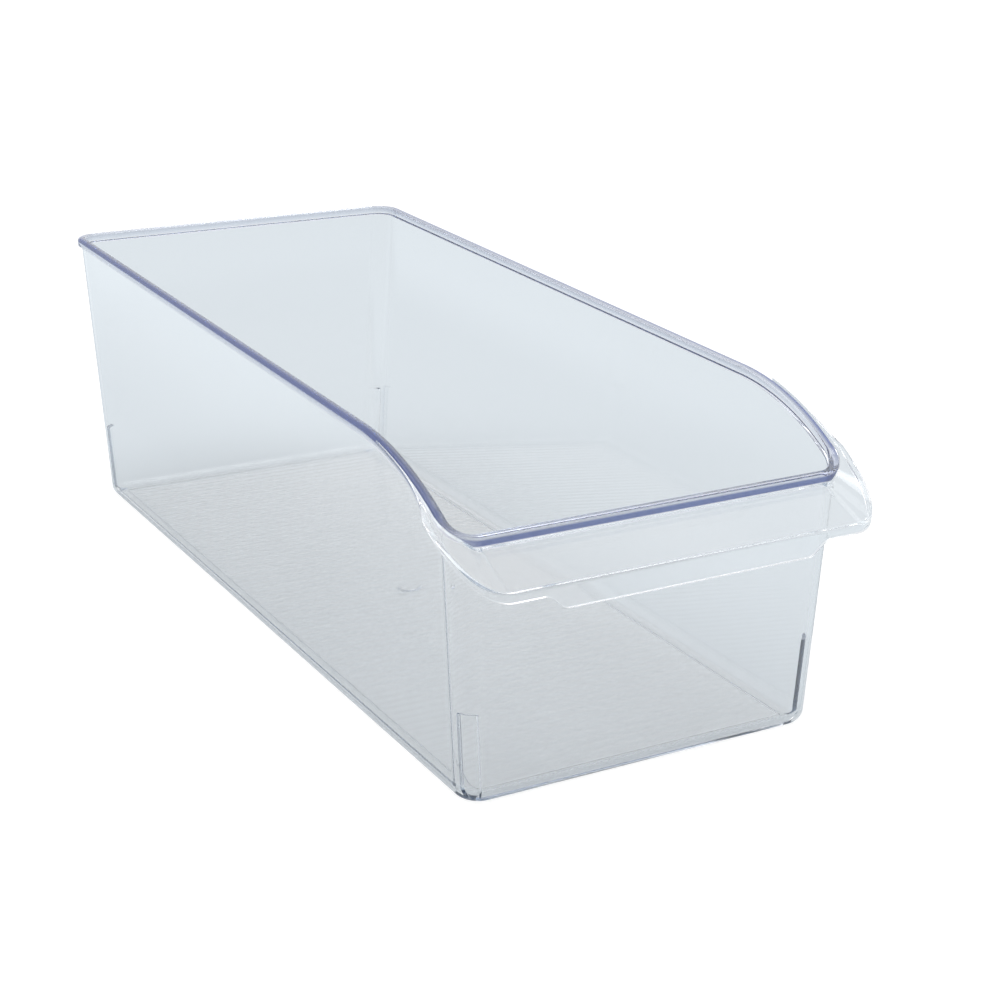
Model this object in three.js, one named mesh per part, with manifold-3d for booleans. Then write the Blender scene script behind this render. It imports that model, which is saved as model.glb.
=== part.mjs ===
// Clear fridge bin, a single injection moulding shown as its moulded regions.
// Millimetres, +Z up, front and pull handle at -Y.
// The origin is under the middle of the overall bounding box, on the resting plane.
import * as THREE from 'three';
import { mergeVertices } from 'three/addons/utils/BufferGeometryUtils.js';
import Module from 'manifold-3d';

// Overall shape
const backHeight = 115.5; // top of the back rim
const frontHeight = 90.8; // top of the front rim
const baseWidth = 132.6; // over the outside of the floor
const baseLength = 337.6;
const sideFlare = 0.062; // outward lean of the side walls per mm of height
const endFlare = 0.018; // the same for the front and back walls
const cornerRadius = 9; // upright corners, outside
const gap = 0.3; // parting gap between neighbouring regions

// Wall, floor and rim
const wallThickness = 2;
const floorThickness = 2;
const bottomEdgeRadius = 4.5;
const floorFilletRadius = 4;
const footStart = 1; // inner end of the wall foot, outward from the corner centre line
const rimOverhang = 1.5; // bead beyond the outer wall face
const rimHeight = 3.5;
const rimOuterRadius = 1.4;
const rimInnerRadius = 0.9;

// Fall of the rim along the sides
const rimSlope = 0.0165; // gentle fall from the back, per mm
const crestRadius = 105; // convex upper part of the S
const dipRadius = 22; // concave lower part of the S

// Pull handle
const handleReach = 29.5; // lip face in front of the corner centre line
const wingReach = 14.2; // wing edge beside the corner centre line
const handleEdgeHeight = 79.8; // top of the lip along the front
const flangeThickness = 2;
const lipThickness = 2;
const lipEdgeRadius = 1.2;
const shortLip = 3.7; // depth of the lip near the corners
const deepLip = 8.6; // depth of the lip over the finger grip
const gripHalfWidth = 44;
const gripShoulder = 8; // width of the curve between short and deep lip
const wingLip = 2.2; // depth of the wing edge beside the rim
const wingStart = 0.32; // where the wing parts from the rim, as a share of the S
const wingTip = 0.3; // width of the wing at that place
const wingTaper = 4.5; // exponent of its widening from there to the corner
const sweepFullness = 2.3; // superellipse exponent of the handle's corner, 2 is an ellipse
const wingLipShare = 0.6; // most of a narrow wing's width that its lip takes
const wingRoundShare = 0.4; // most of it that the rounded edge takes

// Floor ribs, gate mark and stacking ribs
const ribPitch = 4.5;
const ribHeight = 0.12;
const floorEdge = 0.7; // floor edge, outward from the corner centre line
const floorCornerBevel = 0.5;
const gateDiameter = 9;
const gateHeight = 0.7;
const stackHeight = 31; // stacking rib inside each upright corner
const stackDepth = 1.4;
const stackHalfAngle = (24 / 180) * Math.PI;

// Facets along each kind of curve
const arcSteps = 5;
const cornerSteps = 8;
const stackSteps = 6;
const bendSteps = 16;
const wingSteps = 12;
const sweepSteps = 12;
const shoulderSteps = 8;
const gateSides = 24;

const rightAngle = Math.PI / 2;

// Plan positions along Y
const handleFront = cornerRadius - endFlare * handleEdgeHeight - handleReach;
const backReach = endFlare * backHeight + rimOverhang;
const overallLength = baseLength + backReach - handleFront;
const baseFront = -overallLength / 2 - handleFront;
const baseBack = baseFront + baseLength;
const rimOuter = cornerRadius + rimOverhang;
const wallInner = cornerRadius - wallThickness;

const lerp = THREE.MathUtils.lerp;

// Centre of an upright corner arc at height z. sideX and endY are -1 or 1.
function cornerCentre(sideX, endY, z) {
  const x = sideX * (baseWidth / 2 + sideFlare * z - cornerRadius);
  const y = endY > 0
    ? baseBack + endFlare * z - cornerRadius
    : baseFront - endFlare * z + cornerRadius;
  return [x, y];
}

// The S of the rim: height above the front rim at a distance from the front straight.
const frontArc = rightAngle * cornerRadius;
const sideRun = baseLength - 2 * cornerRadius;
const crestFall = backHeight - frontHeight - rimSlope * sideRun;
const bendAngle = Math.acos(1 - crestFall / (crestRadius + dipRadius));
const dipRun = dipRadius * Math.sin(bendAngle);
const bendRun = (crestRadius + dipRadius) * Math.sin(bendAngle);
const bendOnSide = bendRun - frontArc;

function rimRise(distance) {
  if (distance < dipRun) {
    return dipRadius - Math.sqrt(dipRadius ** 2 - distance ** 2);
  }
  if (distance < bendRun) {
    const toCrest = bendRun - distance;
    return crestFall - crestRadius + Math.sqrt(crestRadius ** 2 - toCrest ** 2);
  }
  const straightRun = frontArc + sideRun - bendRun;
  return lerp(crestFall, backHeight - frontHeight, (distance - bendRun) / straightRun);
}

// A station is one place along the plan outline. at(d, z) is the point d outward from the
// corner centre line at height z, and rim is the rim height there.
function cornerStation(sideX, endY, angle) {
  const fromFront = frontArc - angle * cornerRadius;
  return {
    rim: endY > 0 ? backHeight : frontHeight + rimRise(fromFront),
    at(d, z) {
      const [x, y] = cornerCentre(sideX, endY, z);
      return [x + sideX * d * Math.cos(angle), y + endY * d * Math.sin(angle), z];
    },
  };
}

// Along a side wall, by the distance from its front end.
function sideStation(sideX, distance) {
  return {
    rim: frontHeight + rimRise(frontArc + distance),
    at(d, z) {
      const [frontX, frontY] = cornerCentre(sideX, -1, z);
      const backY = cornerCentre(sideX, 1, z)[1];
      const y = lerp(frontY + gap, backY - gap, distance / sideRun);
      return [frontX + sideX * d, y, z];
    },
  };
}

// Along the front or back wall. share runs from -1 at the left corner to 1 at the right.
function endStation(endY, share) {
  return {
    share,
    rim: endY > 0 ? backHeight : frontHeight,
    at(d, z) {
      const [cornerX, y] = cornerCentre(1, endY, z);
      return [share * (cornerX - gap), y + endY * d, z];
    },
  };
}

const steps = (count) => Array.from({ length: count + 1 }, (_, i) => i / count);

const cornerStations = (sideX, endY, from = 0, to = rightAngle, count = cornerSteps) =>
  steps(count).map((t) => cornerStation(sideX, endY, lerp(from, to, t)));

// Close together through the S, then one long straight to the back.
function sideStations(sideX) {
  const bend = steps(bendSteps).map((t) => sideStation(sideX, t * bendOnSide));
  return [...bend, sideStation(sideX, sideRun)];
}

const endStations = (endY) => [-1, 1].map((share) => endStation(endY, share));

// Arc in section coordinates, from one angle to another.
const arc = (centreD, centreZ, radius, from, to) =>
  steps(arcSteps).map((t) => {
    const a = lerp(from, to, t);
    return [centreD + radius * Math.cos(a), centreZ + radius * Math.sin(a)];
  });

// Wall with its foot: rounded outer bottom edge, fillet to the floor inside.
function wallSection(top, thickness = wallThickness) {
  const inner = cornerRadius - thickness;
  const filletCentre = [inner - floorFilletRadius, floorThickness + floorFilletRadius];
  return [
    [footStart, 0],
    ...arc(cornerRadius - bottomEdgeRadius, bottomEdgeRadius, bottomEdgeRadius, -rightAngle, 0),
    [cornerRadius, top],
    [inner, top],
    ...arc(...filletCentre, floorFilletRadius, 0, -rightAngle),
    [footStart, floorThickness],
  ];
}

// Rolled rim: flush with the wall inside, overhanging it outside.
function rimSection(top) {
  const bottom = top - rimHeight;
  return [
    [wallInner, bottom],
    [rimOuter, bottom],
    ...arc(rimOuter - rimOuterRadius, top - rimOuterRadius, rimOuterRadius, 0, rightAngle),
    ...arc(wallInner + rimInnerRadius, top - rimInnerRadius, rimInnerRadius, rightAngle, 2 * rightAngle),
  ];
}

// Flange with a turned-down lip: the wings of the handle.
function wingSection({ root, rootTop, edge, edgeTop, lip }) {
  const width = edge - root;
  const lipInner = edge - Math.min(lipThickness, wingLipShare * width);
  const radius = Math.min(lipEdgeRadius, wingRoundShare * width);
  const flangeTop = (d) => lerp(rootTop, edgeTop, (d - root) / width);
  return [
    [root, rootTop - flangeThickness],
    [lipInner, flangeTop(lipInner) - flangeThickness],
    [lipInner, edgeTop - lip],
    [edge, edgeTop - lip],
    ...arc(edge - radius, edgeTop - radius, radius, 0, rightAngle),
    [root, rootTop],
  ];
}

// Closed body through one counterclockwise section per station, all with as many points.
function loft(stations, sectionAt) {
  const sections = stations.map(sectionAt);
  const size = sections[0].length;
  const positions = sections.flatMap((section, i) => section.flatMap(([d, z]) => stations[i].at(d, z)));
  const index = [];
  for (let ring = 0; ring + 1 < stations.length; ring++) {
    for (let i = 0; i < size; i++) {
      const a = ring * size + i;
      const b = ring * size + ((i + 1) % size);
      index.push(a, b, b + size, a, b + size, a + size);
    }
  }
  const cap = (section) => THREE.ShapeUtils.triangulateShape(section.map((p) => new THREE.Vector2(...p)), []);
  const last = (stations.length - 1) * size;
  cap(sections[0]).forEach(([a, b, c]) => index.push(a, c, b));
  cap(sections.at(-1)).forEach(([a, b, c]) => index.push(last + a, last + b, last + c));
  return faceOutward(positions, index);
}

function faceOutward(positions, index) {
  const corner = (i) => new THREE.Vector3().fromArray(positions, 3 * index[i]);
  let volume = 0;
  for (let i = 0; i < index.length; i += 3) {
    volume += corner(i).dot(corner(i + 1).cross(corner(i + 2)));
  }
  if (volume < 0) index.reverse();
  const geometry = new THREE.BufferGeometry();
  geometry.setAttribute('position', new THREE.Float32BufferAttribute(positions, 3));
  geometry.setIndex(index);
  return geometry;
}

const wasm = await Module();
wasm.setup();
const weldDistance = 1e-5;

function toManifold(geometry) {
  const bare = geometry.clone();
  bare.deleteAttribute('normal');
  bare.deleteAttribute('uv');
  const welded = mergeVertices(bare, weldDistance);
  return new wasm.Manifold(new wasm.Mesh({
    numProp: 3,
    vertProperties: new Float32Array(welded.attributes.position.array),
    triVerts: new Uint32Array(welded.index.array),
  }));
}

function fromManifold(solid) {
  const mesh = solid.getMesh();
  const geometry = new THREE.BufferGeometry();
  geometry.setAttribute('position', new THREE.Float32BufferAttribute(mesh.vertProperties, 3));
  geometry.setIndex(Array.from(mesh.triVerts));
  return geometry;
}

// Floor: flat below, a row of low ribs across the width on top, gate mark in the middle.
function floorPanel() {
  const [halfWidth, back] = cornerCentre(1, 1, 0);
  const front = cornerCentre(1, -1, 0)[1];
  const ribCount = Math.floor((back - front) / ribPitch);
  const ribsStart = (front + back - ribCount * ribPitch) / 2;
  const profile = (trim) => {
    const ribs = steps(ribCount * 2).map((t, i) => [
      ribsStart + t * ribCount * ribPitch,
      floorThickness + (i % 2 ? ribHeight : 0),
    ]);
    const start = front - floorEdge + trim;
    const end = back + floorEdge - trim;
    return [[start, 0], [end, 0], [end, floorThickness], ...ribs.reverse(), [start, floorThickness]];
  };
  const edgeX = halfWidth + floorEdge;
  const slice = (x, trim) => ({ profile: profile(trim), at: (y, z) => [x, y, z] });
  const slices = [
    slice(-edgeX, floorCornerBevel),
    slice(-edgeX + floorCornerBevel, 0),
    slice(edgeX - floorCornerBevel, 0),
    slice(edgeX, floorCornerBevel),
  ];
  const panel = loft(slices, (s) => s.profile);
  const sunk = floorThickness / 2;
  const gate = new THREE.CylinderGeometry(gateDiameter / 2, gateDiameter / 2, sunk + gateHeight, gateSides);
  gate.rotateX(rightAngle);
  gate.translate(0, (front + back) / 2, floorThickness + (gateHeight - sunk) / 2);
  return fromManifold(toManifold(panel).add(toManifold(gate)));
}

const wallTop = (station) => station.rim - rimHeight - gap;

const sideWall = (sideX) => loft(sideStations(sideX), (s) => wallSection(wallTop(s)));

const endWall = (endY) => loft(endStations(endY), (s) => wallSection(wallTop(s)));

// Upright corner with a slot at its foot for the stacking rib.
function upright(sideX, endY) {
  const column = loft(cornerStations(sideX, endY), (s) => wallSection(wallTop(s)));
  const slotHalfAngle = stackHalfAngle + gap / wallInner;
  const middle = rightAngle / 2;
  const slotEdges = [middle - slotHalfAngle, middle + slotHalfAngle];
  const slotStations = cornerStations(sideX, endY, ...slotEdges, stackSteps);
  const slotInner = footStart / 2;
  const slotBottom = -footStart;
  const slotTop = stackHeight + gap;
  const slot = loft(slotStations, () => [
    [slotInner, slotBottom],
    [rimOuter, slotBottom],
    [rimOuter, slotTop],
    [slotInner, slotTop],
  ]);
  return fromManifold(toManifold(column).subtract(toManifold(slot)));
}

// Thicker foot of the corner, which keeps nested bins from jamming.
function stackingRib(sideX, endY) {
  const middle = rightAngle / 2;
  const stations = cornerStations(sideX, endY, middle - stackHalfAngle, middle + stackHalfAngle, stackSteps);
  return loft(stations, () => wallSection(stackHeight, wallThickness + stackDepth));
}

const rimAlong = (stations) => loft(stations, (s) => rimSection(s.rim));

const sideRim = (sideX) => rimAlong(sideStations(sideX));

// Front or back rim, carried round both of its corners.
const endRim = (endY) => rimAlong([
  ...cornerStations(-1, endY),
  ...cornerStations(1, endY).reverse(),
]);

// The handle slopes straight from under the front rim down to the edge of its lip.
const ledgeRoot = cornerRadius + gap;
const ledgeRootTop = frontHeight - rimHeight - gap;
const lipInnerFace = handleReach - lipThickness;
const ledgeTop = (d) => lerp(ledgeRootTop, handleEdgeHeight, (d - ledgeRoot) / (handleReach - ledgeRoot));

function handleLedge() {
  const end = lipInnerFace - gap;
  return loft(endStations(-1), () => [
    [ledgeRoot, ledgeRootTop - flangeThickness],
    [end, ledgeTop(end) - flangeThickness],
    [end, ledgeTop(end)],
    [ledgeRoot, ledgeRootTop],
  ]);
}

// Lip depth along the front: short near the corners, deep over the finger grip.
function lipDepth(x) {
  const shoulder = THREE.MathUtils.smoothstep(Math.abs(x), gripHalfWidth, gripHalfWidth + gripShoulder);
  return lerp(deepLip, shortLip, shoulder);
}

function handleLip() {
  const cornerX = cornerCentre(1, -1, handleEdgeHeight)[0];
  const shoulderShares = steps(shoulderSteps).map((t) => (gripHalfWidth + t * gripShoulder) / cornerX);
  const right = [...shoulderShares, 1];
  const shares = [...right.map((share) => -share).reverse(), ...right];
  const stations = shares.map((share) => endStation(-1, share));
  return loft(stations, (s) => {
    const bottom = handleEdgeHeight - lipDepth(s.share * cornerX);
    return [
      [lipInnerFace, bottom],
      [handleReach, bottom],
      ...arc(handleReach - lipEdgeRadius, handleEdgeHeight - lipEdgeRadius, lipEdgeRadius, 0, rightAngle),
      [lipInnerFace, ledgeTop(lipInnerFace)],
    ];
  });
}

// Wing: leaves the rim on the way down the S, widens, then sweeps a full, oval corner
// that drops from the rim to the lip of the handle.
function handleWing(sideX) {
  const root = rimOuter + gap;
  const atCorner = cornerStation(sideX, -1, 0).rim;

  const besideRim = steps(wingSteps).map((t) => {
    const station = sideStation(sideX, (1 - lerp(wingStart, 1, t)) * bendOnSide);
    return {
      ...station,
      section: {
        root,
        rootTop: station.rim,
        edge: lerp(root + wingTip, wingReach, t ** wingTaper),
        edgeTop: station.rim,
        lip: wingLip,
      },
    };
  });

  const sweep = steps(sweepSteps).slice(1).map((t) => {
    const forward = Math.sin(t * rightAngle) ** (2 / sweepFullness);
    const sideways = Math.cos(t * rightAngle) ** (2 / sweepFullness);
    const station = cornerStation(
      sideX, -1, Math.atan2(handleReach * forward, wingReach * sideways));
    return {
      ...station,
      section: {
        root,
        rootTop: station.rim - rimHeight * forward,
        edge: Math.hypot(wingReach * sideways, handleReach * forward),
        edgeTop: lerp(atCorner, handleEdgeHeight, forward),
        lip: lerp(wingLip, shortLip, forward),
      },
    };
  });

  return loft([...besideRim, ...sweep], (s) => wingSection(s.section));
}

const bin = new THREE.Group();
bin.name = 'fridge_bin';

const clearWall = { color: 0xdce3e8, roughness: 0.08 };
const clearFloor = { color: 0xd0d8df, roughness: 0.16 };
const blueRim = { color: 0x8e9bc2, roughness: 0.06 };
const clearHandle = { color: 0xe2e9ee, roughness: 0.07 };

function addPiece(name, geometry, look) {
  const material = new THREE.MeshStandardMaterial({ ...look, metalness: 0 });
  material.name = `${name}_plastic`;
  const mesh = new THREE.Mesh(geometry, material);
  mesh.name = name;
  bin.add(mesh);
}

addPiece('floor_panel', floorPanel(), clearFloor);
addPiece('front_wall', endWall(-1), clearWall);
addPiece('back_wall', endWall(1), clearWall);
addPiece('back_rim', endRim(1), blueRim);
addPiece('front_rim', endRim(-1), blueRim);
addPiece('handle_ledge', handleLedge(), clearHandle);
addPiece('handle_lip', handleLip(), clearHandle);

for (const [side, sideX] of [['left', -1], ['right', 1]]) {
  addPiece(`${side}_side_wall`, sideWall(sideX), clearWall);
  addPiece(`${side}_rim`, sideRim(sideX), blueRim);
  addPiece(`${side}_handle_wing`, handleWing(sideX), clearHandle);
  for (const [end, endY] of [['front', -1], ['back', 1]]) {
    addPiece(`${end}_${side}_corner`, upright(sideX, endY), clearWall);
    addPiece(`stacking_rib_${end}_${side}`, stackingRib(sideX, endY), clearWall);
  }
}

export default bin;
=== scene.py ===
"""Looks of the clear fridge bin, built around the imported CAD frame.

Lengths are in millimetres in the row frame until a mesh is made, and in metres from there on.
"""

import math

import bpy
from mathutils import Matrix, Vector


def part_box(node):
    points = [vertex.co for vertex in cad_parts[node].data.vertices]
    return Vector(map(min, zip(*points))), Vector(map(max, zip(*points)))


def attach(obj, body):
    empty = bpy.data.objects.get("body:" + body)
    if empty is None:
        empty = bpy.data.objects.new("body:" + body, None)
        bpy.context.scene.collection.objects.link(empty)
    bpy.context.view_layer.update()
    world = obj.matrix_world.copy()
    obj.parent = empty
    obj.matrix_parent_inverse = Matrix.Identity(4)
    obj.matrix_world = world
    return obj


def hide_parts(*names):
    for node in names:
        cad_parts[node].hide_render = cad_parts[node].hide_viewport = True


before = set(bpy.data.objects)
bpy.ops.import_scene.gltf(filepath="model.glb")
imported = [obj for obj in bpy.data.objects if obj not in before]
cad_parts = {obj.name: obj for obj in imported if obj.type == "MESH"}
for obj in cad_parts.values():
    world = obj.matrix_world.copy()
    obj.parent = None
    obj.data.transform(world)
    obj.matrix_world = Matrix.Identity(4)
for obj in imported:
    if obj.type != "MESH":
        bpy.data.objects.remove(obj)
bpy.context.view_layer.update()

MM = 0.001

# Wall, floor and rim
CORNER_RADIUS = 9.0
WALL = 2.0
FLOOR = 2.0
BOTTOM_RADIUS = 4.5
FLOOR_FILLET = 4.0
FLOOR_EDGE = 0.7  # floor edge in the CAD, outward from the corner centre line
FOOT_START = 1.0  # inner end of the wall foot, outward from the corner centre line
RIM_OVERHANG = 1.5
RIM_HEIGHT = 3.5
RIM_OUTER_RADIUS = 1.4
RIM_INNER_RADIUS = 0.9
RIM_EDGE_RADIUS = 0.6
SEAM = 0.02  # between two pieces of the moulding that run into each other
CAD_GAP = 0.3

# Fall of the rim along the sides
RIM_SLOPE = 0.0165
CREST_RADIUS = 105.0
DIP_RADIUS = 22.0

# Pull handle
WING_REACH = 14.2
FLANGE = 2.0
LIP = 2.0
LIP_EDGE_RADIUS = 1.2
LIP_FOOT_RADIUS = 0.45
SHORT_LIP = 3.7
DEEP_LIP = 8.6
GRIP_HALF_WIDTH = 44.0
GRIP_SHOULDER = 8.0
WING_LIP = 2.2
WING_START = 0.32
WING_TIP = 0.3
WING_TAPER = 4.5
SWEEP_FULLNESS = 2.3
ROOT_UNDER_RIM = 0.9  # share of the sweep where the handle's root has dropped under the rim
WING_LIP_SHARE = 0.6
WING_ROUND_SHARE = 0.4

# Floor ribs, gate mark and stacking ribs
RIB_PITCH = 4.5
RIB_HEIGHT = 0.12
GATE_RADIUS = 4.5
GATE_HEIGHT = 0.7
GATE_EDGE = 0.25
STACK_HEIGHT = 31.0
STACK_DEPTH = 1.4
STACK_HALF_ANGLE = math.radians(24)
STACK_EDGE = 0.3

# Floor edge strip and the least drop of the handle's underside
FLOOR_STRIP = 2.0  # flat strip along the floor's sides, outside the ribs
RIB_END = 1.5  # where a rib ends, inward from the floor's side
UNDERSIDE_DROP = 0.2  # least height between the flange's underside and its edge

# Facets along each kind of curve
ARC_STEPS = 8
SMALL_ARC_STEPS = 4
CORNER_STEPS = 30
BEND_STEPS = 72
SWEEP_STEPS = 40
SHOULDER_STEPS = 24
EDGE_STEPS = 4
GATE_SIDES = 64
SIDE_STEPS = 12
END_STEPS = 8
WING_STEPS = 48
STEPS_PER_RIB = 6
FLOOR_COLUMNS = 6  # on each side of the middle

RIGHT_ANGLE = math.pi / 2
SHARP_ANGLE = math.radians(40)
FLAT_WEIGHT = 80  # above 50 the large faces steer the shading

# The rim's painted shade, a dark blue: shares of its width from the inner side, and millimetres
# below its top
PAINTED_SHADE_TOP_WIDTH = 0.5
PAINTED_SHADE_TOP_DEPTH = 0.6
PAINTED_SHADE_FACE_START = 0.8
PAINTED_SHADE_FACE_WIDTH = 0.2
PAINTED_SHADE_FACE_TOP = 0.5
PAINTED_SHADE_FACE_FADE = 0.9
PAINTED_SHADE_MARGIN = 0.3
PAINTED_SHADE_AT_BACK = 0.5

# Light paths: high limits for light that is guided along inside the walls
BOUNCES = 128
CLEAR_BOUNCES = 16

# Plastic
PLASTIC_IOR = 1.57
HAZE_SCALE = 35
HAZE_DETAIL = 3
LEAST_HAZE = 0.7
MOST_HAZE = 1.4
FLOW_HEIGHT = 0.00001  # of the surface's waviness, in metres
FLOW_DETAIL = 1
CLEAR_SHARE = 0.4  # of the light where the rim's painted shade is full; the rest is scattered
TINT = (0.60, 0.72, 0.86)
RIM_TINT = (0.30, 0.42, 0.80)
# Colour of the painted shade on the rim's edges: a dark blue
PAINTED_SHADE_COLOUR = (0.13, 0.17, 0.38)

# Light table: its glow to the camera, and the glow the plastic shows in the open, under the left
# of the bin, and added past the bin's left side and front. Places in metres.
TABLE_HALF_SIZE = 12.0
TABLE_GAP = 0.0002
TABLE_GLOW = 0.8
TABLE_ALBEDO = 0.35
TABLE_OPEN_GLOW = 0.455
TABLE_SHADED_GLOW = 0.38
TABLE_NEAR_GLOW = 0.25
TABLE_TINT = (0.89, 0.955, 1.0)
SHADE_X = (0.1, 0.0)
SHADE_Y = (0.28, 0.14)
NEAR_X = (-0.1, -0.2)
NEAR_Y = (-0.2, -0.3)

# World: heights on the dome between which its colour turns, and its colour above them
DOME_STRENGTH = 0.9
DOME_LOW = 0.1
DOME_HIGH = 0.7
DOME_TINT = (0.97, 0.98, 1)


def lerp(a, b, t):
    return a + (b - a) * t


def smoothstep(t):
    t = min(max(t, 0.0), 1.0)
    return t * t * (3 - 2 * t)


def steps(count):
    return [i / count for i in range(count + 1)]


def cad(node, corner, axis):
    """One side of a CAD node's box in millimetres: corner 0 is the lowest and 1 the highest."""
    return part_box(node)[corner]["xyz".index(axis)] / MM


# Plan and heights, read from the frame
centre_x = cad("floor_panel", 1, "x") - FLOOR_EDGE
base_half = centre_x + CORNER_RADIUS
base_front = cad("floor_panel", 0, "y") + FLOOR_EDGE - CORNER_RADIUS
base_back = cad("floor_panel", 1, "y") - FLOOR_EDGE + CORNER_RADIUS
side_flare = (cad("right_side_wall", 1, "x") - base_half) / cad("right_side_wall", 1, "z")
end_flare = (cad("back_wall", 1, "y") - base_back) / cad("back_wall", 1, "z")
back_height = cad("back_rim", 1, "z")
front_height = cad("front_wall", 1, "z") + RIM_HEIGHT + CAD_GAP
handle_front = cad("handle_lip", 0, "y")
handle_edge_height = cad("left_handle_wing", 0, "z") + SHORT_LIP
handle_reach = base_front - end_flare * handle_edge_height + CORNER_RADIUS - handle_front
rim_outer = CORNER_RADIUS + RIM_OVERHANG
wall_inner = CORNER_RADIUS - WALL


def corner_centre(side_x, end_y, z):
    """Centre of an upright corner arc at height z. side_x and end_y are -1 or 1."""
    x = side_x * (base_half + side_flare * z - CORNER_RADIUS)
    if end_y > 0:
        return x, base_back + end_flare * z - CORNER_RADIUS
    return x, base_front - end_flare * z + CORNER_RADIUS


# The S of the rim: height above the front rim at a distance from the front straight
front_arc = RIGHT_ANGLE * CORNER_RADIUS
side_run = base_back - base_front - 2 * CORNER_RADIUS
crest_fall = back_height - front_height - RIM_SLOPE * side_run
bend_angle = math.acos(1 - crest_fall / (CREST_RADIUS + DIP_RADIUS))
dip_run = DIP_RADIUS * math.sin(bend_angle)
bend_run = (CREST_RADIUS + DIP_RADIUS) * math.sin(bend_angle)
bend_on_side = bend_run - front_arc


def rim_rise(distance):
    if distance < dip_run:
        return DIP_RADIUS - math.sqrt(DIP_RADIUS ** 2 - distance ** 2)
    if distance < bend_run:
        to_crest = bend_run - distance
        return crest_fall - CREST_RADIUS + math.sqrt(CREST_RADIUS ** 2 - to_crest ** 2)
    straight_run = front_arc + side_run - bend_run
    return lerp(crest_fall, back_height - front_height, (distance - bend_run) / straight_run)


class Station:
    """One place along the plan outline.

    at(d, z) is the point d outward from the corner centre line at height z, rim is the rim
    height there, stack is how far the stacking rib stands in from the wall, and facing is 0
    along the sides, 1 along the front and -1 along the back.
    """

    def __init__(self, at, rim, stack=0.0, facing=0.0):
        self.at = at
        self.rim = rim
        self.stack = stack
        self.facing = facing


def corner_station(side_x, end_y, angle, stack=0.0):
    def at(d, z):
        x, y = corner_centre(side_x, end_y, z)
        return x + side_x * d * math.cos(angle), y + end_y * d * math.sin(angle), z

    rise = rim_rise(front_arc - angle * CORNER_RADIUS)
    facing = -end_y * angle / RIGHT_ANGLE
    return Station(at, back_height if end_y > 0 else front_height + rise, stack, facing)


def side_station(side_x, distance):
    def at(d, z):
        front_x, front_y = corner_centre(side_x, -1, z)
        back_y = corner_centre(side_x, 1, z)[1]
        return front_x + side_x * d, lerp(front_y, back_y, distance / side_run), z

    return Station(at, front_height + rim_rise(front_arc + distance))


def end_station(end_y, share):
    def at(d, z):
        corner_x, y = corner_centre(1, end_y, z)
        return share * corner_x, y + end_y * d, z

    return Station(at, back_height if end_y > 0 else front_height, facing=-end_y)


def corner_stations(side_x, end_y, ribbed=False):
    """From the side to the end. A ribbed corner has close stations at its rib's two edges."""
    plain = [RIGHT_ANGLE * t for t in steps(CORNER_STEPS)]
    if not ribbed:
        return [corner_station(side_x, end_y, angle) for angle in plain]
    middle = RIGHT_ANGLE / 2
    edge = STACK_EDGE / CORNER_RADIUS
    outside = [(a, 0.0) for a in plain if abs(a - middle) > STACK_HALF_ANGLE + edge]
    inside = [(a, STACK_DEPTH) for a in plain if abs(a - middle) < STACK_HALF_ANGLE - edge]
    slopes = [
        (middle + side * (STACK_HALF_ANGLE + edge * (1 - 2 * t)), STACK_DEPTH * smoothstep(t))
        for side in (-1, 1)
        for t in steps(EDGE_STEPS)
    ]
    return [corner_station(side_x, end_y, *place) for place in sorted(outside + inside + slopes)]


def side_stations(side_x):
    bend = [side_station(side_x, t * bend_on_side) for t in steps(BEND_STEPS)[1:]]
    rest = [side_station(side_x, lerp(bend_on_side, side_run, t)) for t in steps(SIDE_STEPS)[1:-1]]
    return bend + rest


def end_stations(end_y):
    return [end_station(end_y, 2 * t - 1) for t in steps(END_STEPS)[1:-1]]


def outline(ribbed=False):
    """Stations all round the bin, counterclockwise from above, starting at the right side."""
    return [
        *side_stations(1),
        *corner_stations(1, 1, ribbed),
        *reversed(end_stations(1)),
        *reversed(corner_stations(-1, 1, ribbed)),
        *reversed(side_stations(-1)),
        *corner_stations(-1, -1, ribbed),
        *end_stations(-1),
        *reversed(corner_stations(1, -1, ribbed)),
    ]


def arc(centre_d, centre_z, radius, start, end, count=ARC_STEPS):
    angles = [lerp(start, end, t) for t in steps(count)]
    return [(centre_d + radius * math.cos(a), centre_z + radius * math.sin(a)) for a in angles]


def wall_section(station):
    """Wall and foot: rounded outer bottom edge, stacking rib and floor fillet inside."""
    top = station.rim - RIM_HEIGHT - SEAM
    inner = wall_inner - station.stack
    shelf = [
        (wall_inner - station.stack * smoothstep(t), STACK_HEIGHT + STACK_EDGE * (1 - 2 * t))
        for t in steps(EDGE_STEPS)
    ]
    return [
        (FOOT_START, 0),
        *arc(CORNER_RADIUS - BOTTOM_RADIUS, BOTTOM_RADIUS, BOTTOM_RADIUS, -RIGHT_ANGLE, 0),
        (CORNER_RADIUS, STACK_HEIGHT),
        (CORNER_RADIUS, top),
        (wall_inner, top),
        *shelf,
        *arc(inner - FLOOR_FILLET, FLOOR + FLOOR_FILLET, FLOOR_FILLET, 0, -RIGHT_ANGLE),
        (FOOT_START, FLOOR),
    ]


def rim_section(station):
    """Rolled rim: flush with the wall inside, overhanging it outside."""
    top = station.rim
    bottom = top - RIM_HEIGHT
    return [
        (wall_inner, bottom),
        *arc(rim_outer - RIM_EDGE_RADIUS, bottom + RIM_EDGE_RADIUS, RIM_EDGE_RADIUS,
             -RIGHT_ANGLE, 0, SMALL_ARC_STEPS),
        *arc(rim_outer - RIM_OUTER_RADIUS, top - RIM_OUTER_RADIUS, RIM_OUTER_RADIUS,
             0, RIGHT_ANGLE),
        *arc(wall_inner + RIM_INNER_RADIUS, top - RIM_INNER_RADIUS, RIM_INNER_RADIUS,
             RIGHT_ANGLE, 2 * RIGHT_ANGLE),
    ]


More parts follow.
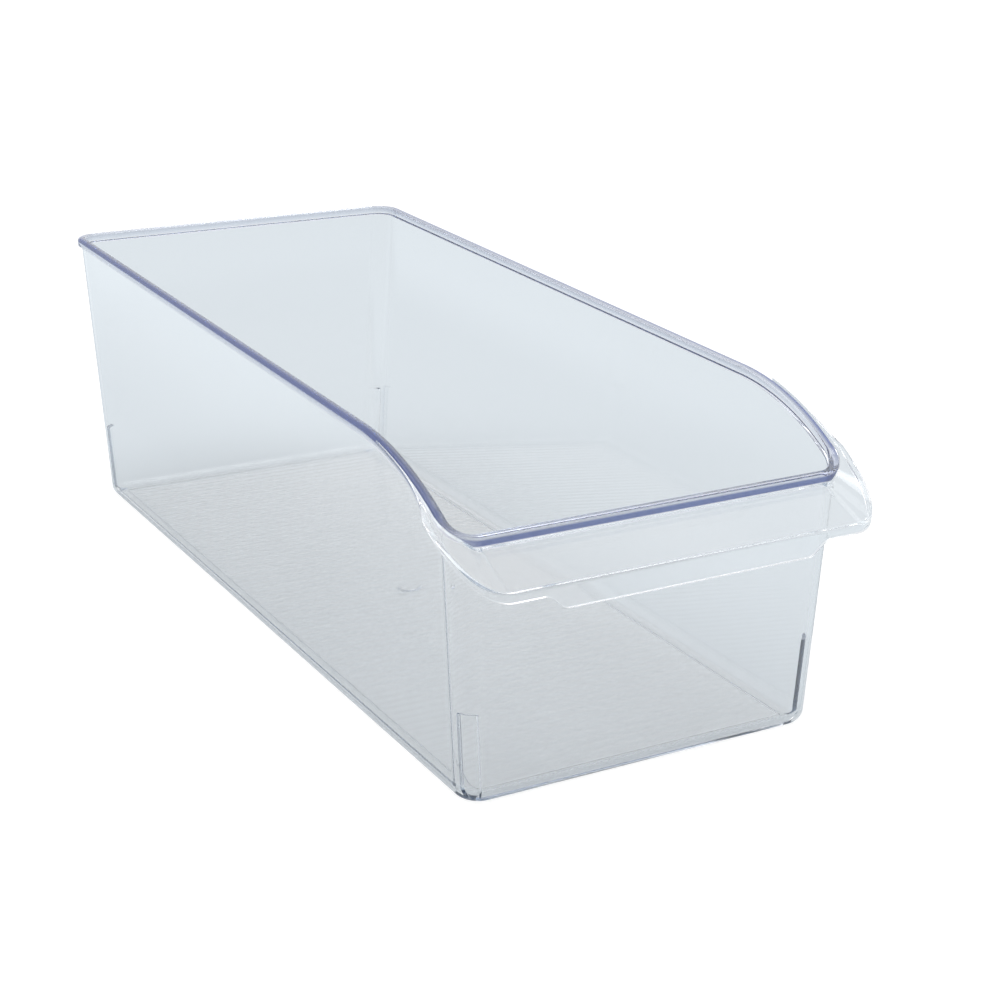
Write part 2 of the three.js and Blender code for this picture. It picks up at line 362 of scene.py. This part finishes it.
def handle_section(root, root_top, edge, edge_top, lip):
    """Flange with a turned-down lip."""
    width = edge - root
    thickness = min(LIP, WING_LIP_SHARE * width)
    radius = min(LIP_EDGE_RADIUS, WING_ROUND_SHARE * width)
    foot = min(LIP_FOOT_RADIUS, thickness / 2, lip / 3)
    inner = edge - thickness
    bottom = edge_top - lip

    def flange_top(d):
        return lerp(root_top, edge_top, (d - root) / width)

    return [
        (root, root_top - FLANGE),
        (inner, min(flange_top(inner) - FLANGE, edge_top - UNDERSIDE_DROP)),
        *arc(inner + foot, bottom + foot, foot, 2 * RIGHT_ANGLE, 3 * RIGHT_ANGLE,
             SMALL_ARC_STEPS),
        *arc(edge - foot, bottom + foot, foot, -RIGHT_ANGLE, 0, SMALL_ARC_STEPS),
        *arc(edge - radius, edge_top - radius, radius, 0, RIGHT_ANGLE),
        (root, root_top),
    ]


def mesh_object(name, points, faces, material):
    mesh = bpy.data.meshes.new(name)
    mesh.from_pydata([tuple(c * MM for c in p) for p in points], [], faces)
    mesh.materials.append(material)
    obj = bpy.data.objects.new(name, mesh)
    bpy.context.scene.collection.objects.link(obj)
    return obj


def finish_piece(obj, nodes):
    """Outward faces, smooth shading with flat walls kept flat, and the frame's claims."""
    bpy.context.view_layer.objects.active = obj
    obj.select_set(True)
    bpy.ops.object.mode_set(mode="EDIT")
    bpy.ops.mesh.select_all(action="SELECT")
    bpy.ops.mesh.normals_make_consistent(inside=False)
    bpy.ops.object.mode_set(mode="OBJECT")
    obj.data.shade_smooth()
    obj.data.set_sharp_from_angle(angle=SHARP_ANGLE)
    weighted = obj.modifiers.new("flat_walls", "WEIGHTED_NORMAL")
    weighted.keep_sharp = True
    weighted.weight = FLAT_WEIGHT
    obj.select_set(False)
    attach(obj, "root")
    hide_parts(*nodes)
    return obj


def loft(name, sections, closed, material):
    """Body through one section per station: a ring when closed, else capped at both ends."""
    size = len(sections[0])
    count = len(sections)
    points = [p for section in sections for p in section]
    faces = []
    for ring in range(count if closed else count - 1):
        following = (ring + 1) % count
        for i in range(size):
            j = (i + 1) % size
            faces.append((ring * size + i, ring * size + j,
                          following * size + j, following * size + i))
    if not closed:
        faces.append(tuple(reversed(range(size))))
        faces.append(tuple(range((count - 1) * size, count * size)))
    return mesh_object(name, points, faces, material)


def sections_of(stations, section_at):
    return [[station.at(d, z) for d, z in section_at(station)] for station in stations]


def build_walls(material):
    sections = sections_of(outline(ribbed=True), wall_section)
    walls = loft("bin_walls", sections, True, material)
    corners = [f"{end}_{side}_corner" for end in ("front", "back") for side in ("left", "right")]
    ribs = [f"stacking_rib_{end}_{side}" for end in ("front", "back")
            for side in ("left", "right")]
    plain = ["front_wall", "back_wall", "left_side_wall", "right_side_wall"]
    return finish_piece(walls, plain + corners + ribs)


def painted_rim_shade(station, d, z):
    """Strength of the painted shade on the rim, a dark blue: over the top along the sides, on the
    face in front.
    """
    below_top = station.rim - z
    across = (d - wall_inner) / (rim_outer - wall_inner)
    top_end = RIM_OUTER_RADIUS + PAINTED_SHADE_MARGIN
    on_top = smoothstep(across / PAINTED_SHADE_TOP_WIDTH) * smoothstep((top_end - below_top) / PAINTED_SHADE_TOP_DEPTH)
    on_face = smoothstep((across - PAINTED_SHADE_FACE_START) / PAINTED_SHADE_FACE_WIDTH)
    on_face *= smoothstep((below_top - PAINTED_SHADE_FACE_TOP) / PAINTED_SHADE_FACE_FADE)
    on_face *= smoothstep((RIM_HEIGHT - PAINTED_SHADE_MARGIN - below_top) / PAINTED_SHADE_MARGIN)
    front = max(station.facing, 0.0)
    back = max(-station.facing, 0.0)
    return on_top * (1 - front - PAINTED_SHADE_AT_BACK * back) + on_face * front


def build_rim(material):
    stations = outline()
    rim = loft("rolled_rim", sections_of(stations, rim_section), True, material)
    # Painted shade: a dark blue laid on the rim point by point, from each point's place on the rim
    tint = rim.data.attributes.new("painted_edge_shade", "FLOAT", "POINT")
    tint.data.foreach_set("value", [
        painted_rim_shade(station, d, z) for station in stations for d, z in rim_section(station)
    ])
    return finish_piece(rim, ["front_rim", "back_rim", "left_rim", "right_rim"])


def lip_depth(x):
    """Deep over the finger grip, short near the corners."""
    shoulder = smoothstep((abs(x) - GRIP_HALF_WIDTH) / GRIP_SHOULDER)
    return lerp(DEEP_LIP, SHORT_LIP, shoulder)


def wing_sections(side_x):
    """From the tip beside the rim to the front straight."""
    rim_root = rim_outer + SEAM
    wall_root = CORNER_RADIUS + SEAM
    at_corner = corner_station(side_x, -1, 0.0).rim
    found = []
    for t in steps(WING_STEPS):
        station = side_station(side_x, (1 - lerp(WING_START, 1, t)) * bend_on_side)
        edge = lerp(rim_root + WING_TIP, WING_REACH, t ** WING_TAPER)
        section = handle_section(rim_root, station.rim, edge, station.rim, WING_LIP)
        found.append([station.at(d, z) for d, z in section])
    for t in steps(SWEEP_STEPS)[1:]:
        forward = math.sin(t * RIGHT_ANGLE) ** (2 / SWEEP_FULLNESS)
        sideways = abs(math.cos(t * RIGHT_ANGLE)) ** (2 / SWEEP_FULLNESS)
        angle = math.atan2(handle_reach * forward, WING_REACH * sideways)
        station = corner_station(side_x, -1, angle)
        section = handle_section(
            lerp(rim_root, wall_root, smoothstep((t - ROOT_UNDER_RIM) / (1 - ROOT_UNDER_RIM))),
            station.rim - (RIM_HEIGHT + SEAM) * smoothstep(t / ROOT_UNDER_RIM),
            math.hypot(WING_REACH * sideways, handle_reach * forward),
            lerp(at_corner, handle_edge_height, forward),
            lerp(WING_LIP, SHORT_LIP, forward),
        )
        found.append([station.at(d, z) for d, z in section])
    return found


def front_sections():
    """Between the two corners, with the deep lip over the middle."""
    corner_x = corner_centre(1, -1, handle_edge_height)[0]
    shoulder = [(GRIP_HALF_WIDTH + t * GRIP_SHOULDER) / corner_x for t in steps(SHOULDER_STEPS)]
    shares = [*(-s for s in reversed(shoulder)), *shoulder]
    found = []
    for share in shares:
        station = end_station(-1, share)
        section = handle_section(
            CORNER_RADIUS + SEAM,
            front_height - RIM_HEIGHT - SEAM,
            handle_reach,
            handle_edge_height,
            lip_depth(share * corner_x),
        )
        found.append([station.at(d, z) for d, z in section])
    return found


def build_handle(material):
    sections = [*wing_sections(-1), *front_sections(), *reversed(wing_sections(1))]
    handle = loft("pull_handle", sections, False, material)
    nodes = ["handle_ledge", "handle_lip", "left_handle_wing", "right_handle_wing"]
    return finish_piece(handle, nodes)


def build_floor(material):
    """Slab with a row of low rounded ribs across its width."""
    edge = FOOT_START - SEAM
    half = centre_x + edge
    front = base_front + CORNER_RADIUS - edge
    back = base_back - CORNER_RADIUS + edge
    count = math.floor((back - front) / RIB_PITCH)
    ribs_start = (front + back - count * RIB_PITCH) / 2
    rows = [front]
    rows += [ribs_start + i * RIB_PITCH / STEPS_PER_RIB for i in range(count * STEPS_PER_RIB + 1)]
    rows += [back]

    def rib(y):
        phase = (y - ribs_start) / RIB_PITCH
        inside = 0 < phase < count
        return RIB_HEIGHT * (0.5 - 0.5 * math.cos(2 * math.pi * phase)) if inside else 0.0

    inset = edge * (1 - 1 / math.sqrt(2))
    inner_columns = [half * i / FLOOR_COLUMNS for i in range(1 - FLOOR_COLUMNS, FLOOR_COLUMNS)]
    columns = [-half, -half + inset, -half + FLOOR_STRIP, *inner_columns,
               half - FLOOR_STRIP, half - inset, half]
    sections = []
    for y in rows:
        row = []
        at_end = y in (front, back)
        for x in columns:
            rise = 0.0 if abs(x) > half - RIB_END else rib(y)
            bent = y
            if at_end and abs(x) == half:
                bent = y + (inset if y == front else -inset)
            row.append((x, bent, FLOOR + rise))
        row += [(x, bent, 0.0) for x, bent, _ in reversed(row)]
        sections.append(row)
    floor = loft("ribbed_floor", sections, False, material)
    add_gate_mark(floor, (front + back) / 2, material)
    return finish_piece(floor, ["floor_panel"])


def add_gate_mark(floor, y, material):
    """Low round pad with a bevelled edge, joined to the middle of the floor."""
    top = FLOOR + GATE_HEIGHT
    profile = [
        (GATE_RADIUS, FLOOR / 2),
        (GATE_RADIUS, top - GATE_EDGE),
        (GATE_RADIUS - GATE_EDGE, top),
    ]
    turns = [2 * math.pi * i / GATE_SIDES for i in range(GATE_SIDES)]
    points = [(r * math.cos(a), y + r * math.sin(a), z) for r, z in profile for a in turns]
    faces = [tuple(reversed(range(GATE_SIDES)))]
    for ring in range(len(profile) - 1):
        for i in range(GATE_SIDES):
            a = ring * GATE_SIDES + i
            b = ring * GATE_SIDES + (i + 1) % GATE_SIDES
            faces.append((a, b, b + GATE_SIDES, a + GATE_SIDES))
    faces.append(tuple((len(profile) - 1) * GATE_SIDES + i for i in range(GATE_SIDES)))
    pad = mesh_object("gate_pad", points, faces, material)
    joined = floor.modifiers.new("gate", "BOOLEAN")
    joined.operation = "UNION"
    joined.solver = "EXACT"
    joined.object = pad
    bpy.context.view_layer.objects.active = floor
    bpy.ops.object.modifier_apply(modifier=joined.name)
    bpy.data.objects.remove(pad)


def noise(tree, scale, detail):
    """Noise laid by place on the object."""
    place = tree.nodes.new("ShaderNodeTexCoord")
    texture = tree.nodes.new("ShaderNodeTexNoise")
    texture.inputs["Scale"].default_value = scale
    texture.inputs["Detail"].default_value = detail
    tree.links.new(place.outputs["Object"], texture.inputs["Vector"])
    return texture.outputs["Fac"]


def add_haze(tree, plastic, roughness):
    """Roughness that drifts a little from place to place."""
    rough = tree.nodes.new("ShaderNodeMapRange")
    rough.inputs["To Min"].default_value = roughness * LEAST_HAZE
    rough.inputs["To Max"].default_value = roughness * MOST_HAZE
    tree.links.new(noise(tree, HAZE_SCALE, HAZE_DETAIL), rough.inputs["Value"])
    tree.links.new(rough.outputs["Result"], plastic.inputs["Roughness"])


def add_flow(tree, plastic, scale):
    """The faint flow waviness of a moulding."""
    bump = tree.nodes.new("ShaderNodeBump")
    bump.inputs["Strength"].default_value = 1.0
    bump.inputs["Distance"].default_value = FLOW_HEIGHT
    tree.links.new(noise(tree, scale, FLOW_DETAIL), bump.inputs["Height"])
    tree.links.new(bump.outputs["Normal"], plastic.inputs["Normal"])


def add_painted_edge_shade(tree, plastic, colour):
    """Painted shade: a dark blue base colour, with part of the light scattered instead of let
    through, where the mesh's shade attribute is high.
    """
    where = tree.nodes.new("ShaderNodeAttribute")
    where.attribute_name = "painted_edge_shade"
    tint = tree.nodes.new("ShaderNodeValToRGB")
    tint.color_ramp.elements[0].color = (1, 1, 1, 1)
    tint.color_ramp.elements[1].color = (*colour, 1)
    tree.links.new(where.outputs["Fac"], tint.inputs["Fac"])
    tree.links.new(tint.outputs["Color"], plastic.inputs["Base Color"])
    clear = tree.nodes.new("ShaderNodeMapRange")
    clear.inputs["To Min"].default_value = 1.0
    clear.inputs["To Max"].default_value = CLEAR_SHARE
    tree.links.new(where.outputs["Fac"], clear.inputs["Value"])
    tree.links.new(clear.outputs["Result"], plastic.inputs["Transmission Weight"])


def clear_plastic(name, colour, density, roughness, flow_scale, painted_edge_shade=None):
    """Clear moulded plastic, darker the deeper it is. density is its absorption per metre."""
    material = bpy.data.materials.new(name)
    material.use_nodes = True
    tree = material.node_tree
    tree.nodes.clear()
    output = tree.nodes.new("ShaderNodeOutputMaterial")
    plastic = tree.nodes.new("ShaderNodeBsdfPrincipled")
    plastic.inputs["Base Color"].default_value = (1, 1, 1, 1)
    plastic.inputs["IOR"].default_value = PLASTIC_IOR
    plastic.inputs["Transmission Weight"].default_value = 1.0
    absorb = tree.nodes.new("ShaderNodeVolumeAbsorption")
    absorb.inputs["Color"].default_value = (*colour, 1)
    absorb.inputs["Density"].default_value = density
    add_haze(tree, plastic, roughness)
    add_flow(tree, plastic, flow_scale)
    # Painted shade on the rim's edges: a dark blue base colour
    if painted_edge_shade:
        add_painted_edge_shade(tree, plastic, painted_edge_shade)
    tree.links.new(plastic.outputs["BSDF"], output.inputs["Surface"])
    tree.links.new(absorb.outputs["Volume"], output.inputs["Volume"])
    return material


def table_glow(tree):
    """Glow over the table: dimmer under the bin, brighter past its left side and its front."""
    place = tree.nodes.new("ShaderNodeTexCoord")
    split = tree.nodes.new("ShaderNodeSeparateXYZ")
    tree.links.new(place.outputs["Object"], split.inputs["Vector"])

    def ramp(value, start, end, low, high):
        node = tree.nodes.new("ShaderNodeMapRange")
        node.interpolation_type = "SMOOTHSTEP"
        node.inputs["From Min"].default_value = start
        node.inputs["From Max"].default_value = end
        node.inputs["To Min"].default_value = low
        node.inputs["To Max"].default_value = high
        tree.links.new(value, node.inputs["Value"])
        return node.outputs["Result"]

    def combine(operation, first, second):
        node = tree.nodes.new("ShaderNodeMath")
        node.operation = operation
        tree.links.new(first, node.inputs[0])
        tree.links.new(second, node.inputs[1])
        return node.outputs["Value"]

    x = split.outputs["X"]
    y = split.outputs["Y"]
    shade = combine("MULTIPLY", ramp(x, *SHADE_X, 0, 1), ramp(y, *SHADE_Y, 0, 1))
    under = ramp(shade, 0, 1, TABLE_OPEN_GLOW, TABLE_SHADED_GLOW)
    left = ramp(x, *NEAR_X, 0, TABLE_NEAR_GLOW)
    front = ramp(y, *NEAR_Y, 0, TABLE_NEAR_GLOW)
    near = combine("MAXIMUM", left, front)
    return combine("ADD", under, near)


def glowing_paper(tree, tint, glow=None):
    """Pale paper lit from within. glow is a socket for the strength, or None for an even glow."""
    reflect = tree.nodes.new("ShaderNodeBsdfDiffuse")
    reflect.inputs["Color"].default_value = (*(TABLE_ALBEDO * c for c in tint), 1)
    light = tree.nodes.new("ShaderNodeEmission")
    light.inputs["Color"].default_value = (*tint, 1)
    light.inputs["Strength"].default_value = TABLE_GLOW
    if glow is not None:
        tree.links.new(glow, light.inputs["Strength"])
    both = tree.nodes.new("ShaderNodeAddShader")
    tree.links.new(light.outputs["Emission"], both.inputs[0])
    tree.links.new(reflect.outputs["BSDF"], both.inputs[1])
    return both.outputs["Shader"]


def table_paper():
    """White to the camera, and a shade darker where the plastic shows it."""
    paper = bpy.data.materials.new("studio_paper")
    paper.use_nodes = True
    tree = paper.node_tree
    tree.nodes.clear()
    output = tree.nodes.new("ShaderNodeOutputMaterial")
    path = tree.nodes.new("ShaderNodeLightPath")
    pick = tree.nodes.new("ShaderNodeMixShader")
    tree.links.new(path.outputs["Is Camera Ray"], pick.inputs["Fac"])
    tree.links.new(glowing_paper(tree, TABLE_TINT, table_glow(tree)), pick.inputs[1])
    tree.links.new(glowing_paper(tree, (1, 1, 1)), pick.inputs[2])
    tree.links.new(pick.outputs["Shader"], output.inputs["Surface"])
    return paper


def build_stage():
    size = TABLE_HALF_SIZE
    mesh = bpy.data.meshes.new("studio_floor")
    mesh.from_pydata([(-size, -size, 0), (size, -size, 0), (size, size, 0), (-size, size, 0)],
                     [], [(0, 1, 2, 3)])
    mesh.materials.append(table_paper())
    floor = bpy.data.objects.new("studio_floor", mesh)
    floor.location.z = -TABLE_GAP
    bpy.context.scene.collection.objects.link(floor)


def area_light(name, place, target, width, height, power, highlights_only=False):
    light = bpy.data.lights.new(name, "AREA")
    light.shape = "RECTANGLE"
    light.size = width
    light.size_y = height
    light.energy = power
    lamp = bpy.data.objects.new(name, light)
    lamp.location = place
    lamp.visible_diffuse = not highlights_only
    lamp.rotation_euler = (Vector(target) - Vector(place)).to_track_quat("-Z", "Y").to_euler()
    bpy.context.scene.collection.objects.link(lamp)


def build_world():
    """A pale dome, slightly cooler overhead."""
    world = bpy.data.worlds.new("studio")
    bpy.context.scene.world = world
    world.use_nodes = True
    tree = world.node_tree
    tree.nodes.clear()
    output = tree.nodes.new("ShaderNodeOutputWorld")
    background = tree.nodes.new("ShaderNodeBackground")
    place = tree.nodes.new("ShaderNodeTexCoord")
    split = tree.nodes.new("ShaderNodeSeparateXYZ")
    ramp = tree.nodes.new("ShaderNodeValToRGB")
    low, high = ramp.color_ramp.elements
    low.position = DOME_LOW
    low.color = (1, 1, 1, 1)
    high.position = DOME_HIGH
    high.color = (*DOME_TINT, 1)
    background.inputs["Strength"].default_value = DOME_STRENGTH
    tree.links.new(place.outputs["Generated"], split.inputs["Vector"])
    tree.links.new(split.outputs["Z"], ramp.inputs["Fac"])
    tree.links.new(ramp.outputs["Color"], background.inputs["Color"])
    tree.links.new(background.outputs["Background"], output.inputs["Surface"])


def build_camera():
    """At the left of the front, looking down along the bin. Metres and radians."""
    azimuth = 0.51003
    elevation = 0.34133
    roll = 0.00962
    place = Vector((-0.3315, -0.6530, 0.3009))
    forward = Vector((
        math.sin(azimuth) * math.cos(elevation),
        math.cos(azimuth) * math.cos(elevation),
        -math.sin(elevation),
    ))
    lens = bpy.data.cameras.new("camera")
    lens.lens = 73.36
    lens.sensor_width = 36
    lens.clip_end = 50
    camera = bpy.data.objects.new("camera", lens)
    turn = forward.to_track_quat("-Z", "Y").to_matrix().to_4x4()
    camera.matrix_world = Matrix.Translation(place) @ turn @ Matrix.Rotation(roll, 4, "Z")
    bpy.context.scene.collection.objects.link(camera)
    bpy.context.scene.camera = camera


wall_plastic = clear_plastic("clear_wall", TINT, density=8, roughness=0.03, flow_scale=14)
floor_plastic = clear_plastic("clear_floor", TINT, density=5, roughness=0.04, flow_scale=20)
# The rim's plastic: its own blue absorption, plus a painted shade of dark blue on its edges
rim_plastic = clear_plastic("blue_rim", RIM_TINT, density=30, roughness=0.03, flow_scale=20,
                            painted_edge_shade=PAINTED_SHADE_COLOUR)
handle_plastic = clear_plastic("clear_handle", TINT, density=6, roughness=0.06, flow_scale=20)

build_walls(wall_plastic)
build_floor(floor_plastic)
build_rim(rim_plastic)
build_handle(handle_plastic)
build_stage()
build_world()
area_light("softbox_above", place=(-0.1, 0.1, 1.2), target=(0, 0, 0.05),
           width=0.9, height=0.9, power=3)
area_light("highlight_above", place=(0.45, -0.35, 1.0), target=(0, 0, 0.08),
           width=0.5, height=0.35, power=1.4, highlights_only=True)
build_camera()

scene = bpy.context.scene
scene.view_settings.view_transform = "Standard"
scene.cycles.max_bounces = BOUNCES
scene.cycles.transmission_bounces = BOUNCES
scene.cycles.glossy_bounces = BOUNCES
scene.cycles.transparent_max_bounces = CLEAR_BOUNCES
